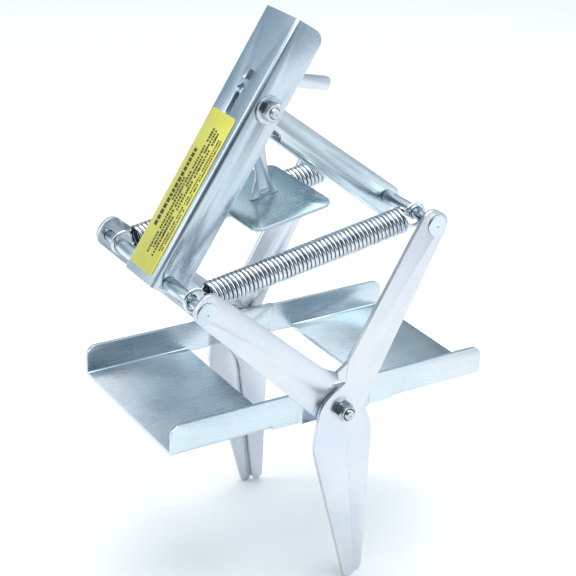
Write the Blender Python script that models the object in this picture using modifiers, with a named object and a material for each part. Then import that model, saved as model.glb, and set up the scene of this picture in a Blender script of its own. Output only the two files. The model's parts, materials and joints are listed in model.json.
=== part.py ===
"""Foot-set scissor-jaw mole trap, built sprung (jaws closed), as separate sheet-steel pieces.

Units are metres, +Z is up, +X runs along the frame towards the right foot pan, and the
front of the trap faces -Y. Z 0 is the ground, under the two foot pans.

The jaws, rods, lever, link, trigger and springs make one set that is symmetrical about a
line through the jaw pivot. They are drawn upright about that line, and the whole set is
then leaned in the frame by JAW_SET_LEAN.
"""

import math

import bmesh
import bpy
from mathutils import Matrix, Vector

MM = 0.001
GAP = 0.3 * MM                      # clearance between neighbouring pieces
ARC_STEPS = 6                       # straight pieces in a rounded corner
ROUND_STEPS = 24                    # straight pieces round a full circle

# Frame: two foot pans joined by side rails.
FRAME_LENGTH = 272 * MM
FRAME_WIDTH = 140.6 * MM
OPENING_LENGTH = 97 * MM
FRAME_SHEET = 3.0 * MM
FLANGE_HEIGHT = 24.5 * MM
FLANGE_CORNER = 8 * MM
BEND_RADIUS = 4.5 * MM
RAIL_STEP = 2.0 * MM                # how far the rail steps outwards beside the pivot
RAIL_STEP_PLACE = 29 * MM
RAIL_STEP_RUN = 2.2 * MM

# Jaw set: arm length, opening and lean.
PIVOT_HEIGHT = 9 * MM
ARM_LENGTH = 152 * MM
ARM_HALF_ANGLE = math.radians(38.62)
JAW_SET_LEAN = math.radians(9.6)
JAW_SHEET = 3.4 * MM
ARM_END_ROUND = 9.6 * MM
ARM_INNER_END = 14.5 * MM           # arm edges, measured from the line pivot to rod
ARM_INNER_ROOT = 16 * MM
ARM_OUTER_END = 8.6 * MM
ARM_OUTER_ROOT = 17 * MM
ARM_PAST_ROD = 10 * MM
BLADE_LENGTH = 153 * MM
BLADE_LEAN = math.radians(2.0)      # both blade points lean to the left of the set's middle line
BLADE_BULGE = 27.0 * MM
BLADE_BULGE_DROP = 26 * MM
BLADE_SHOULDER = 18 * MM
BLADE_SHOULDER_RISE = 10 * MM
BLADE_TIP = 8.8 * MM
BLADE_TIP_ROUND = 4.3 * MM
BLADE_THROAT = 1 * MM
BLADE_THROAT_DROP = 34 * MM
STOP_ROOT_LOW = (5 * MM, 21 * MM)   # fold line of the bent stop corner
STOP_TIP_LOW = 24 * MM
STOP_TIP_HIGH = 31 * MM
STOP_ALONG_ARM = 35 * MM

# Fasteners and rods.
BOLT = 7.9 * MM
BOLT_HOLE = 8.6 * MM
NUT_FLATS = 12.7 * MM
NUT_HEIGHT = 6.8 * MM
COLLAR = 11.8 * MM
COLLAR_WALL = 0.8 * MM
COLLAR_HEIGHT = 1.9 * MM
HEAD_HEIGHT = 5.2 * MM
THREAD_PAST_NUT = 2.2 * MM
WASHER = 17.4 * MM
WIDE_WASHER = 20.4 * MM
WASHER_SHEET = 1.6 * MM
SPACER_SHEET = 1.2 * MM
ROD = 8.0 * MM
ROD_HEAD = 16 * MM
ROD_HEAD_HEIGHT = 0.8 * MM
SLEEVE = 10.4 * MM

# Lever and link: two folded channels that make the toggle.
THROW = 139.7 * MM                  # rod to toggle bolt, in the lever and in the link
CHANNEL_SHEET = 3.0 * MM
CHANNEL_BEND = 3.6 * MM
LEVER_WIDTH = 44 * MM
LEVER_DEPTH = 27 * MM
LEVER_LENGTH = 212 * MM
LEVER_BELOW_ROD = 8 * MM
LEVER_WEB_RISE = 11 * MM            # web face above the left rod
TOGGLE_DROP = 3 * MM                # toggle bolt below the lever line through the rod
LEVER_CORNER = 9 * MM
LINK_WIDTH = 35 * MM
LINK_DEPTH = 23.7 * MM
LINK_EDGE_RISE = 9.7 * MM
LINK_PAST_ROD = 10 * MM
LINK_PAST_TOGGLE = 6.6 * MM
LINK_CORNER = 8 * MM
LINK_EYE_PATH = (                    # places the toggle bolt takes in the link's end, from its rest
    (0.0, 0.0), (1.7 * MM, 1.6 * MM), (3.2 * MM, 2.8 * MM), (4.6 * MM, 3.5 * MM),
    (5.8 * MM, 3.9 * MM), (6.7 * MM, 3.9 * MM), (7.1 * MM, 3.7 * MM), (7.2 * MM, 3.2 * MM),
    (6.8 * MM, 2.5 * MM), (5.9 * MM, 1.8 * MM), (4.5 * MM, 1.0 * MM), (2.5 * MM, 0.3 * MM),
)
LINK_EYE_WALL = 1.6 * MM            # sheet left round the eye
LINK_WEB_STOP = 31 * MM             # web ends this far before the toggle bolt
NOSE_SLOT = 5 * MM
NOSE_SLOT_LOW = THROW - 14.2 * MM   # the nose slot, diamond and tab are placed by the toggle bolt
DIAMOND_MIDDLE = THROW + 3.8 * MM
DIAMOND_LENGTH = 12 * MM
DIAMOND_WIDTH = 10 * MM
TAB_LOW = THROW + 11.3 * MM
TAB_LENGTH = 8 * MM
TAB_WIDTH = 5.5 * MM
TAB_RISE = 2.6 * MM
LABEL_LOW = -2 * MM
LABEL_LENGTH = THROW - 14.7 * MM
LABEL_WIDTH = 33 * MM
LABEL_SIDE = 2.0 * MM
LABEL_SHEET = 0.4 * MM
LABEL_GAP = 0.1 * MM

# Trigger: an upright plate on the toggle bolt that carries the trip pan.
TRIGGER_SHEET = 3.0 * MM
TRIGGER_HUB = 8 * MM
STRIP_WIDTH = 10 * MM
STRIP_DROP = 75 * MM
FOOT_WIDTH = 23 * MM
FOOT_RISE = 15 * MM
TENON_WIDTH = 12 * MM
FOOT_EYE = (8 * MM, 3.4 * MM)
FOOT_EYE_RISE = 4.5 * MM
FINGER_LENGTH = 62.5 * MM
FINGER_DEPTH = 10 * MM
FINGER_RISE = 17.8 * MM               # finger's line above the bolt's
FINGER_SLOPE = math.radians(-21.6)
NOSE_REACH = 13.2 * MM
SET_LEVER_TURN = math.radians(8.9)  # lever's slope when the trap is set
UNDER_WEB = 10.2 * MM               # plate stays this far from the bolt, below the lever's web
NOSE_WIDTH = 6 * MM
NOSE_TURN = math.radians(76)         # from the lever's line round to the nose
PAN_LENGTH = 66 * MM
PAN_WIDTH = 88 * MM
PAN_SHEET = 2.5 * MM
PAN_CORNER = 9 * MM
SPACER = 11.4 * MM

# Springs: each one is drawn as two halves, which move apart as it stretches.
SPRING_SIDE = 56 * MM
WIRE = 2.8 * MM
COIL = 20 * MM
COIL_TO_ROD = 12.87 * MM            # coil end from the middle of its rod
COIL_TURNS = 18.25
COIL_STEPS = 8
HOOK_STEPS = 12
HOOK_OPEN = math.radians(28)

ZINC = (0.62, 0.66, 0.69)
ZINC_DARK = (0.42, 0.44, 0.46)
NYLON = (0.08, 0.16, 0.42)
YELLOW = (0.72, 0.66, 0.10)

for old in list(bpy.data.objects):
    bpy.data.objects.remove(old, do_unlink=True)

part_collection = bpy.data.collections.new("mole_trap")
cutter_collection = bpy.data.collections.new("cutters")
bpy.context.scene.collection.children.link(part_collection)
bpy.context.scene.collection.children.link(cutter_collection)


# ---------------------------------------------------------------- outlines

def rounded(corners, steps=ARC_STEPS):
    """Points of a closed outline. Each corner is (x, y) or (x, y, radius)."""
    points = []
    count = len(corners)
    for index, corner in enumerate(corners):
        here = Vector(corner[:2])
        radius = corner[2] if len(corner) > 2 else 0
        if radius <= 0:
            points.append(here)
            continue
        back = (Vector(corners[index - 1][:2]) - here).normalized()
        ahead = (Vector(corners[(index + 1) % count][:2]) - here).normalized()
        half = back.angle(ahead) / 2
        middle = here + (back + ahead).normalized() * (radius / math.sin(half))
        first = here + back * (radius / math.tan(half)) - middle
        last = here + ahead * (radius / math.tan(half)) - middle
        sweep = first.angle_signed(last)
        for step in range(steps + 1):
            turn = Matrix.Rotation(-sweep * step / steps, 2)
            points.append(middle + turn @ first)
    return points


def circle(diameter, centre=(0, 0), steps=ROUND_STEPS):
    radius = diameter / 2
    return [
        Vector((centre[0] + radius * math.cos(turn), centre[1] + radius * math.sin(turn)))
        for turn in (2 * math.pi * step / steps for step in range(steps))
    ]


def slot(length, width, centre, direction, steps=8):
    """Points of a round-ended slot that starts at centre and runs along direction."""
    along = Vector(direction).normalized()
    side = Vector((-along.y, along.x))
    points = []
    for end, sign in ((length, 1), (0, -1)):
        for step in range(steps + 1):
            turn = math.pi / 2 - math.pi * step / steps
            offset = along * math.cos(turn) * sign + side * math.sin(turn) * sign
            points.append(Vector(centre) + along * end + offset * (width / 2))
    return points


def wide_eye(diameter, centre, path, steps=ROUND_STEPS):
    """Hull of a round hole that has been moved along a path of offsets from its centre."""
    points = []
    for step in range(steps):
        turn = 2 * math.pi * step / steps
        way = Vector((math.cos(turn), math.sin(turn)))
        furthest = max((Vector(offset) for offset in path), key=way.dot)
        points.append(Vector(centre) + furthest + way * (diameter / 2))
    return points


def hexagon(flats):
    radius = flats / math.sqrt(3)
    return circle(2 * radius, steps=6)


# ---------------------------------------------------------------- solids

def link_to(collection, name, mesh):
    piece = bpy.data.objects.new(name, mesh)
    collection.objects.link(piece)
    return piece


def welded(mesh):
    """Closes seams, removes needless edges on flat faces and points the faces outwards."""
    work = bmesh.new()
    work.from_mesh(mesh)
    bmesh.ops.remove_doubles(work, verts=work.verts, dist=0.002 * MM)
    bmesh.ops.dissolve_limit(
        work, angle_limit=math.radians(0.2), verts=work.verts, edges=work.edges
    )
    bmesh.ops.triangulate(work, faces=work.faces)
    bmesh.ops.recalc_face_normals(work, faces=work.faces)
    work.to_mesh(mesh)
    work.free()
    return mesh


def mesh_of(piece):
    """The piece's shape as a plain mesh, in world places, with the piece removed."""
    bpy.context.view_layer.update()
    view = bpy.context.evaluated_depsgraph_get()
    mesh = bpy.data.meshes.new_from_object(piece.evaluated_get(view))
    mesh.transform(piece.matrix_world)
    bpy.data.objects.remove(piece, do_unlink=True)
    return mesh


def extruded(outlines, depth, place=Matrix.Identity(4)):
    """A flat sheet: the first outline with the others as holes, depth thick about its plane."""
    curve = bpy.data.curves.new("outline", "CURVE")
    curve.dimensions = "2D"
    curve.fill_mode = "BOTH"
    curve.extrude = depth / 2
    for outline in outlines:
        spline = curve.splines.new("POLY")
        spline.points.add(len(outline) - 1)
        for point, target in zip(spline.points, outline):
            point.co = (target[0], target[1], 0, 1)
        spline.use_cyclic_u = True
    piece = link_to(cutter_collection, "outline", curve)
    mesh = mesh_of(piece)
    mesh.transform(place)
    return welded(mesh)


def wire(points, thickness):
    """A round wire along a chain of points, with flat ends."""
    curve = bpy.data.curves.new("wire", "CURVE")
    curve.dimensions = "3D"
    curve.bevel_depth = thickness / 2
    curve.bevel_resolution = 2
    curve.use_fill_caps = True
    spline = curve.splines.new("POLY")
    spline.points.add(len(points) - 1)
    for point, target in zip(spline.points, points):
        point.co = (*target, 1)
    return welded(mesh_of(link_to(cutter_collection, "wire", curve)))


def combined(mesh, other, operation):
    """Boolean of two meshes; both are used up."""
    first = link_to(cutter_collection, "first", mesh)
    second = link_to(cutter_collection, "second", other)
    second.hide_render = True
    second.display_type = "WIRE"
    change = first.modifiers.new("boolean", "BOOLEAN")
    change.object = second
    change.operation = operation
    change.solver = "EXACT"
    result = mesh_of(first)
    bpy.data.objects.remove(second, do_unlink=True)
    return welded(result)


def material(name, colour, roughness, metallic):
    made = bpy.data.materials.get(name)
    if made is None:
        made = bpy.data.materials.new(name)
        made.use_nodes = True
        shader = made.node_tree.nodes["Principled BSDF"]
        shader.inputs["Base Color"].default_value = (*colour, 1)
        shader.inputs["Roughness"].default_value = roughness
        shader.inputs["Metallic"].default_value = metallic
        made.diffuse_color = (*colour, 1)
    return made


def piece(name, mesh, origin, look=("zinc_plate", ZINC, 0.32, 1.0)):
    """A finished node. The mesh is in world places; its origin goes to a point on its joint."""
    mesh.name = name
    mesh.transform(Matrix.Translation(-origin))
    mesh.materials.clear()
    mesh.materials.append(material(f"{name}_{look[0]}", *look[1:]))
    node = link_to(part_collection, name, mesh)
    node.location = origin
    return node


# Outlines are drawn flat. UPRIGHT stands them up so that they face the front.
UPRIGHT = Matrix.Rotation(math.pi / 2, 4, "X")


def at_depth(depth):
    return Matrix.Translation((0, depth, 0))


# ---------------------------------------------------------------- main points

PIVOT = Vector((0, 0, PIVOT_HEIGHT))
SET_PLACE = Matrix.Translation(PIVOT) @ Matrix.Rotation(-JAW_SET_LEAN, 4, "Y")
ROD_HALF_SPAN = ARM_LENGTH * math.sin(ARM_HALF_ANGLE)
ROD_RISE = ARM_LENGTH * math.cos(ARM_HALF_ANGLE)
COIL_END = ROD_HALF_SPAN - COIL_TO_ROD
TOGGLE_ANGLE = math.acos(ROD_HALF_SPAN / THROW)
TOGGLE_RISE = ROD_RISE + THROW * math.sin(TOGGLE_ANGLE)


def in_set(x, z):
    """World place of a point of the jaw set, given from the pivot with the set upright."""
    return SET_PLACE @ Vector((x, 0, z))


LEFT_ROD = in_set(-ROD_HALF_SPAN, ROD_RISE)
RIGHT_ROD = in_set(ROD_HALF_SPAN, ROD_RISE)
TOGGLE = in_set(0, TOGGLE_RISE)

# Layers outwards from the middle, for the front; the rear ones mirror them.
RAIL_FACE = FRAME_WIDTH / 2 + RAIL_STEP
SPACER_FACE = RAIL_FACE + GAP
INNER_JAW_FACE = SPACER_FACE + SPACER_SHEET + GAP
OUTER_JAW_FACE = INNER_JAW_FACE + JAW_SHEET + GAP
JAW_STACK = OUTER_JAW_FACE + JAW_SHEET


# ---------------------------------------------------------------- frame

def channel_outline(width, depth, sheet, bend):
    """Section of a folded channel, open upwards, with its web's outer face on y 0."""
    half = width / 2
    inner_bend = max(bend - sheet, 0.5 * MM)
    return rounded([
        (-half, depth), (-half, 0, bend), (half, 0, bend), (half, depth),
        (half - sheet, depth), (half - sheet, sheet, inner_bend),
        (-half + sheet, sheet, inner_bend), (-half + sheet, depth),
    ])


def foot_pan(side):
    """One pan with its two flanges, out to the end of the frame on that side."""
    section = channel_outline(FRAME_WIDTH, FLANGE_HEIGHT, FRAME_SHEET, BEND_RADIUS)
    length = (FRAME_LENGTH - OPENING_LENGTH) / 2
    middle = side * (OPENING_LENGTH + length) / 2
    lengthways = Matrix.Rotation(math.pi / 2, 4, "Z") @ UPRIGHT
    pan = extruded([section], length, Matrix.Translation((middle, 0, 0)) @ lengthways)
    inner = side * OPENING_LENGTH / 2
    outer = side * FRAME_LENGTH / 2
    past = side * BEND_RADIUS
    side_view = [
        (inner - past, -BEND_RADIUS), (outer, -BEND_RADIUS),
        (outer, FLANGE_HEIGHT, FLANGE_CORNER), (inner - past, FLANGE_HEIGHT),
    ]
    trim = extruded([rounded(side_view)], FRAME_WIDTH * 2, UPRIGHT)
    return combined(pan, trim, "INTERSECT")


def rail(side):
    """Side rail across the opening: an upright strip, stepped outwards beside the pivot."""
    face = FRAME_WIDTH / 2
    end = OPENING_LENGTH / 2 + BEND_RADIUS
    path = [
        (-end, face), (-RAIL_STEP_PLACE - RAIL_STEP_RUN, face),
        (-RAIL_STEP_PLACE, RAIL_FACE), (RAIL_STEP_PLACE, RAIL_FACE),
        (RAIL_STEP_PLACE + RAIL_STEP_RUN, face), (end, face),
    ]
    curve = bpy.data.curves.new("rail", "CURVE")
    curve.dimensions = "3D"
    curve.extrude = FLANGE_HEIGHT / 2
    spline = curve.splines.new("POLY")
    spline.points.add(len(path) - 1)
    for point, (x, y) in zip(spline.points, path):
        point.co = (x, side * y, 0, 1)
    strip = link_to(cutter_collection, "strip", mesh_of(link_to(cutter_collection, "rail", curve)))
    thicken = strip.modifiers.new("sheet", "SOLIDIFY")
    thicken.thickness = FRAME_SHEET
    thicken.offset = -side
    thicken.use_even_offset = True
    strip.location = (0, 0, FLANGE_HEIGHT / 2)
    bar = welded(mesh_of(strip))
    hole = extruded(
        [circle(BOLT_HOLE, (0, PIVOT_HEIGHT))], FRAME_SHEET * 4, at_depth(side * face) @ UPRIGHT
    )
    return combined(bar, hole, "DIFFERENCE")


frame = combined(foot_pan(-1), rail(-1), "UNION")
frame = combined(frame, rail(1), "UNION")
frame = combined(frame, foot_pan(1), "UNION")
piece("base_frame", frame, Vector((0, 0, 0)))


# ---------------------------------------------------------------- jaws

def jaw_outline(blade_turn):
    """Plate with its arm up to the right and its blade down the left, pivot on the origin."""
    along = Vector((math.sin(ARM_HALF_ANGLE), math.cos(ARM_HALF_ANGLE)))
    inner = Vector((-along.y, along.x))
    lean = Matrix.Rotation(-blade_turn, 2)

    def on_blade(x, y):
        return tuple(lean @ Vector((x, y)))

    def on_arm(distance, offset):
        return tuple(along * distance + inner * offset)

    root = STOP_ROOT_LOW
    top = on_arm(STOP_ALONG_ARM, ARM_INNER_ROOT)
    return [
        (*on_arm(ARM_LENGTH + ARM_PAST_ROD, ARM_INNER_END), ARM_END_ROUND),
        top,
        root,
        (-BLADE_SHOULDER, BLADE_SHOULDER_RISE, 22 * MM),
        (*on_blade(-BLADE_BULGE, -BLADE_BULGE_DROP), 40 * MM),
        (*on_blade(-BLADE_TIP, -BLADE_LENGTH), BLADE_TIP_ROUND),
        (*on_blade(GAP / 2, -BLADE_LENGTH), BLADE_TIP_ROUND),
        (*on_blade(BLADE_THROAT, -BLADE_THROAT_DROP), 30 * MM),
        (*on_arm(0, -ARM_OUTER_ROOT), 20 * MM),
        (*on_arm(ARM_LENGTH + ARM_PAST_ROD, -ARM_OUTER_END), ARM_END_ROUND),
    ], top, root


def jaw_plate(mirror, front_face, side, bend):
    """Jaw plate from front_face to JAW_SHEET beyond it, measured outwards on that side.

    mirror is 1 for the jaw with its arm on the right and -1 for the other one. bend is the
    sideways travel of the folded stop corner, positive outwards.
    """
    corners, top, root = jaw_outline(mirror * BLADE_LEAN)
    rod_x = ROD_HALF_SPAN
    holes = [circle(BOLT_HOLE), circle(BOLT_HOLE, (rod_x, ROD_RISE))]
    plate = extruded([rounded(corners)] + holes, JAW_SHEET, UPRIGHT)
    shape = bmesh.new()
    low, high = -JAW_SHEET / 2, JAW_SHEET / 2
    overlap = 0.6 * MM
    edge = [
        (root[0] + overlap, root[1], 0), (top[0] + overlap, top[1], 0),
        (GAP / 2, STOP_TIP_HIGH, bend), (GAP / 2, STOP_TIP_LOW, bend),
    ]
    rings = []
    for level in (low, high):
        rings.append([shape.verts.new((x, -(level + shift), z)) for x, z, shift in edge])
    shape.faces.new(rings[0])
    shape.faces.new(list(reversed(rings[1])))
    for here in range(len(edge)):
        there = (here + 1) % len(edge)
        shape.faces.new((rings[0][there], rings[0][here], rings[1][here], rings[1][there]))
    stop = bpy.data.meshes.new("stop")
    shape.to_mesh(stop)
    shape.free()
    welded(stop)
    plate = combined(plate, stop, "UNION")
    middle = front_face + JAW_SHEET / 2
    turn = Matrix.Diagonal((mirror, 1, 1, 1))
    if side > 0:
        turn = Matrix.Diagonal((mirror, -1, 1, 1))
    plate.transform(SET_PLACE @ at_depth(side * middle) @ turn)
    return welded(plate)


STOP_BEND = (JAW_SHEET + GAP) / 2
for place_name, side in (("front", -1), ("rear", 1)):
    outer_plate = jaw_plate(1, OUTER_JAW_FACE, side, -STOP_BEND)
    inner_plate = jaw_plate(-1, INNER_JAW_FACE, side, STOP_BEND)
    piece(f"right_jaw_{place_name}", outer_plate, PIVOT)
    piece(f"left_jaw_{place_name}", inner_plate, PIVOT)


# ---------------------------------------------------------------- round pieces on an axis

def round_piece(outlines, start, end, axis_point, turn=0.0):
    """Outlines extruded along Y between two depths, centred on axis_point."""
    lean = Matrix.Rotation(turn, 4, "Y")
    place = Matrix.Translation((axis_point.x, (start + end) / 2, axis_point.z)) @ lean @ UPRIGHT
    return extruded(outlines, abs(end - start), place)


def ring(outer, hole, start, end, axis_point):
    return round_piece([circle(outer), circle(hole)], start, end, axis_point)


def stepped_bar(steps, axis_point):
    """A round bar on an axis, given as (radius, depth) steps from its front end to its rear."""
    shape = bmesh.new()
    rings = []
    for radius, depth in steps:
        rings.append([
            shape.verts.new((axis_point.x + x, depth, axis_point.z + z))
            for x, z in circle(2 * radius)
        ])
    shape.faces.new(rings[0])
    shape.faces.new(list(reversed(rings[-1])))
    for near, far in zip(rings, rings[1:]):
        for here in range(ROUND_STEPS):
            there = (here + 1) % ROUND_STEPS
            shape.faces.new((near[there], near[here], far[here], far[there]))
    mesh = bpy.data.meshes.new("bar")
    shape.to_mesh(mesh)
    shape.free()
    return welded(mesh)


def rod_mesh(face, axis_point):
    """A rod right across the trap, with a flat riveted head outside each plate."""
    inner = face + GAP
    outer = inner + ROD_HEAD_HEIGHT
    return stepped_bar([
        (ROD_HEAD / 2, -outer), (ROD_HEAD / 2, -inner), (ROD / 2, -inner),
        (ROD / 2, inner), (ROD_HEAD / 2, inner), (ROD_HEAD / 2, outer),
    ], axis_point)


piece("left_rod", rod_mesh(INNER_JAW_FACE + JAW_SHEET, LEFT_ROD), LEFT_ROD)
piece("right_rod", rod_mesh(JAW_STACK, RIGHT_ROD), RIGHT_ROD)


def bolt_mesh(head_face, end, side, axis_point):
    """Bolt whose head's underside is at head_face and whose thread ends at end."""
    shank = round_piece([circle(BOLT)], side * (head_face - HEAD_HEIGHT / 2), side * end, axis_point)
    head = round_piece(
        [hexagon(NUT_FLATS)], side * (head_face - HEAD_HEIGHT), side * head_face, axis_point
    )
    return combined(head, shank, "UNION")


def lock_nut_mesh(start, side, axis_point):
    """Hexagon nut with a thin collar on its outer end that holds a nylon ring."""
    body = round_piece(
        [hexagon(NUT_FLATS), circle(BOLT_HOLE)], side * start, side * (start + NUT_HEIGHT),
        axis_point,
    )
    collar = ring(
        COLLAR, COLLAR - 2 * COLLAR_WALL, side * (start + NUT_HEIGHT - 0.4 * MM),
        side * (start + NUT_HEIGHT + COLLAR_HEIGHT), axis_point,
    )
    return combined(body, collar, "UNION")


for place_name, side in (("front", -1), ("rear", 1)):
    nut_face = JAW_STACK + GAP
    collar_end = nut_face + NUT_HEIGHT + COLLAR_HEIGHT
    bolt = bolt_mesh(RAIL_FACE - FRAME_SHEET - GAP, collar_end + THREAD_PAST_NUT, side, PIVOT)
    piece(f"pivot_bolt_{place_name}", bolt, PIVOT)
    spacer_washer = ring(
        WASHER, BOLT_HOLE, side * SPACER_FACE, side * (SPACER_FACE + SPACER_SHEET), PIVOT
    )
    piece(f"spacer_washer_{place_name}", spacer_washer, PIVOT)
    piece(f"pivot_nut_{place_name}", lock_nut_mesh(nut_face, side, PIVOT), PIVOT)
    insert = ring(
        COLLAR - 2 * COLLAR_WALL - 2 * GAP, BOLT_HOLE,
        side * (nut_face + NUT_HEIGHT + GAP), side * (collar_end - 0.2 * MM), PIVOT,
    )
    piece(f"nut_insert_{place_name}", insert, PIVOT, ("nylon", NYLON, 0.5, 0.0))


# ---------------------------------------------------------------- lever

LEVER_TILT = JAW_SET_LEAN + TOGGLE_ANGLE + math.asin(TOGGLE_DROP / THROW)
LEVER_PLACE = Matrix.Translation(LEFT_ROD) @ Matrix.Rotation(-LEVER_TILT, 4, "Y")
TOGGLE_ALONG = math.sqrt(THROW ** 2 - TOGGLE_DROP ** 2)
LEVER_TOP = LEVER_LENGTH - LEVER_BELOW_ROD
LENGTHWAYS = Matrix.Rotation(math.pi / 2, 4, "Z") @ UPRIGHT


def box(length, width, height, middle):
    """A plain block with its middle at a point."""
    half_length, half_width = length / 2, width / 2
    outline = [
        (-half_length, -half_width), (half_length, -half_width),
        (half_length, half_width), (-half_length, half_width),
    ]
    return extruded([outline], height, Matrix.Translation(middle))


def lever_mesh():
    """Channel with its web upwards, drawn with the left rod on the origin and lying along X."""
    section = channel_outline(LEVER_WIDTH, LEVER_DEPTH, CHANNEL_SHEET, CHANNEL_BEND)
    middle = (LEVER_TOP - LEVER_BELOW_ROD) / 2
    turned_over = Matrix.Rotation(math.pi, 4, "X")
    place = Matrix.Translation((middle, 0, LEVER_WEB_RISE)) @ turned_over @ LENGTHWAYS
    shell = extruded([section], LEVER_LENGTH, place)
    low = LEVER_WEB_RISE - LEVER_DEPTH
    high = LEVER_WEB_RISE + LEVER_CORNER
    side_view = rounded([
        (-LEVER_BELOW_ROD, low, LEVER_CORNER), (LEVER_TOP, low, LEVER_CORNER),
        (LEVER_TOP, high), (-LEVER_BELOW_ROD, high),
    ])
    holes = [circle(BOLT_HOLE), circle(BOLT_HOLE, (TOGGLE_ALONG, -TOGGLE_DROP))]
    trim = extruded([side_view] + holes, LEVER_WIDTH * 2, UPRIGHT)
    shell = combined(shell, trim, "INTERSECT")
    web_middle = LEVER_WEB_RISE - CHANNEL_SHEET / 2
    diamond = extruded(
        [[
            (DIAMOND_MIDDLE - DIAMOND_LENGTH / 2, 0), (DIAMOND_MIDDLE, -DIAMOND_WIDTH / 2),
            (DIAMOND_MIDDLE + DIAMOND_LENGTH / 2, 0), (DIAMOND_MIDDLE, DIAMOND_WIDTH / 2),
        ]],
        CHANNEL_SHEET * 3, Matrix.Translation((0, 0, web_middle)),
    )
    shell = combined(shell, diamond, "DIFFERENCE")
    nose_slot = extruded(
        [slot(DIAMOND_MIDDLE - NOSE_SLOT_LOW, NOSE_SLOT, (NOSE_SLOT_LOW, 0), (1, 0))],
        CHANNEL_SHEET * 3, Matrix.Translation((0, 0, web_middle)),
    )
    shell = combined(shell, nose_slot, "DIFFERENCE")
    tab_middle = TAB_LOW + TAB_LENGTH / 2
    tab = box(
        TAB_LENGTH, TAB_WIDTH, TAB_RISE + CHANNEL_SHEET / 2,
        (tab_middle, 0, web_middle + (TAB_RISE + CHANNEL_SHEET / 2) / 2),
    )
    return combined(shell, tab, "UNION")


lever = lever_mesh()
lever.transform(LEVER_PLACE)
piece("lever", lever, LEFT_ROD)

label_outline = rounded([
    (LABEL_LOW, LABEL_SIDE - LABEL_WIDTH / 2, 3.5 * MM),
    (LABEL_LOW + LABEL_LENGTH, LABEL_SIDE - LABEL_WIDTH / 2, 3.5 * MM),
    (LABEL_LOW + LABEL_LENGTH, LABEL_SIDE + LABEL_WIDTH / 2, 3.5 * MM),
    (LABEL_LOW, LABEL_SIDE + LABEL_WIDTH / 2, 3.5 * MM),
])
label_rise = LEVER_WEB_RISE + LABEL_GAP + LABEL_SHEET / 2
label = extruded([label_outline], LABEL_SHEET, Matrix.Translation((0, 0, label_rise)))
label.transform(LEVER_PLACE)
piece("lever_label", label, LEFT_ROD, ("vinyl", YELLOW, 0.45, 0.0))


# ---------------------------------------------------------------- link

LINK_TILT = JAW_SET_LEAN - TOGGLE_ANGLE
LINK_PLACE = Matrix.Translation(RIGHT_ROD) @ Matrix.Rotation(-LINK_TILT, 4, "Y")


def link_mesh():
    """Channel with its web below, drawn with the right rod on the origin, toggle along -X."""
    section = channel_outline(LINK_WIDTH, LINK_DEPTH + 3 * MM, CHANNEL_SHEET, CHANNEL_BEND)
    low = LINK_EDGE_RISE - LINK_DEPTH
    length = THROW + LINK_PAST_ROD + LINK_PAST_TOGGLE
    middle = (LINK_PAST_ROD - THROW - LINK_PAST_TOGGLE) / 2
    shell = extruded([section], length, Matrix.Translation((middle, 0, low)) @ LENGTHWAYS)
    toggle_end = -THROW - LINK_PAST_TOGGLE
    web_end = -THROW + LINK_WEB_STOP
    side_view = rounded([
        (LINK_PAST_ROD, low - CHANNEL_SHEET), (LINK_PAST_ROD, LINK_EDGE_RISE, LINK_CORNER),
        (toggle_end, LINK_EDGE_RISE - 3.1 * MM, 6.5 * MM),
        (toggle_end, LINK_EDGE_RISE - 16.2 * MM, 6.5 * MM),
        (web_end - 6 * MM, low + CHANNEL_SHEET + 2 * MM, 4 * MM), (web_end, low - CHANNEL_SHEET),
    ])
    trim = extruded([side_view, circle(BOLT_HOLE)], LINK_WIDTH * 2, UPRIGHT)
    eye_rim = wide_eye(BOLT_HOLE + 2 * LINK_EYE_WALL, (-THROW, 0), LINK_EYE_PATH)
    trim = combined(trim, extruded([eye_rim], LINK_WIDTH * 2, UPRIGHT), "UNION")
    eye = wide_eye(BOLT_HOLE, (-THROW, 0), LINK_EYE_PATH)
    trim = combined(trim, extruded([eye], LINK_WIDTH * 3, UPRIGHT), "DIFFERENCE")
    return combined(shell, trim, "INTERSECT")


link = link_mesh()
link.transform(LINK_PLACE)
piece("link", link, RIGHT_ROD)


# ---------------------------------------------------------------- sleeves and toggle bolt

HOOK_FACE = SPRING_SIDE - WIRE / 2 - GAP
for place_name, side in (("front", -1), ("rear", 1)):
    for rod_name, axis_point, width in (
        ("left", LEFT_ROD, LEVER_WIDTH), ("right", RIGHT_ROD, LINK_WIDTH)
    ):
        sleeve = ring(
            SLEEVE, BOLT_HOLE, side * (width / 2 + GAP), side * HOOK_FACE, axis_point
        )
        piece(f"{rod_name}_sleeve_{place_name}", sleeve, axis_point)

lever_face = LEVER_WIDTH / 2
toggle_nut_face = lever_face + GAP + WASHER_SHEET + GAP
toggle_bolt = bolt_mesh(
    -toggle_nut_face, toggle_nut_face + NUT_HEIGHT + THREAD_PAST_NUT, -1, TOGGLE
)
piece("toggle_bolt", toggle_bolt, TOGGLE)
toggle_nut = round_piece(
    [hexagon(NUT_FLATS), circle(BOLT_HOLE)],
    -toggle_nut_face, -toggle_nut_face - NUT_HEIGHT, TOGGLE,
)
piece("toggle_nut", toggle_nut, TOGGLE)
for place_name, side in (("front", -1), ("rear", 1)):
    start = side * (lever_face + GAP)
    washer = ring(WIDE_WASHER, BOLT_HOLE, start, start + side * WASHER_SHEET, TOGGLE)
    piece(f"toggle_washer_{place_name}", washer, TOGGLE)
    inner_start = side * (TRIGGER_SHEET / 2 + GAP)
    inner_end = side * (LINK_WIDTH / 2 - CHANNEL_SHEET - GAP)
    piece(f"trigger_spacer_{place_name}", ring(SPACER, BOLT_HOLE, inner_start, inner_end, TOGGLE), TOGGLE)


# ---------------------------------------------------------------- trigger and trip pan

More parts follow.
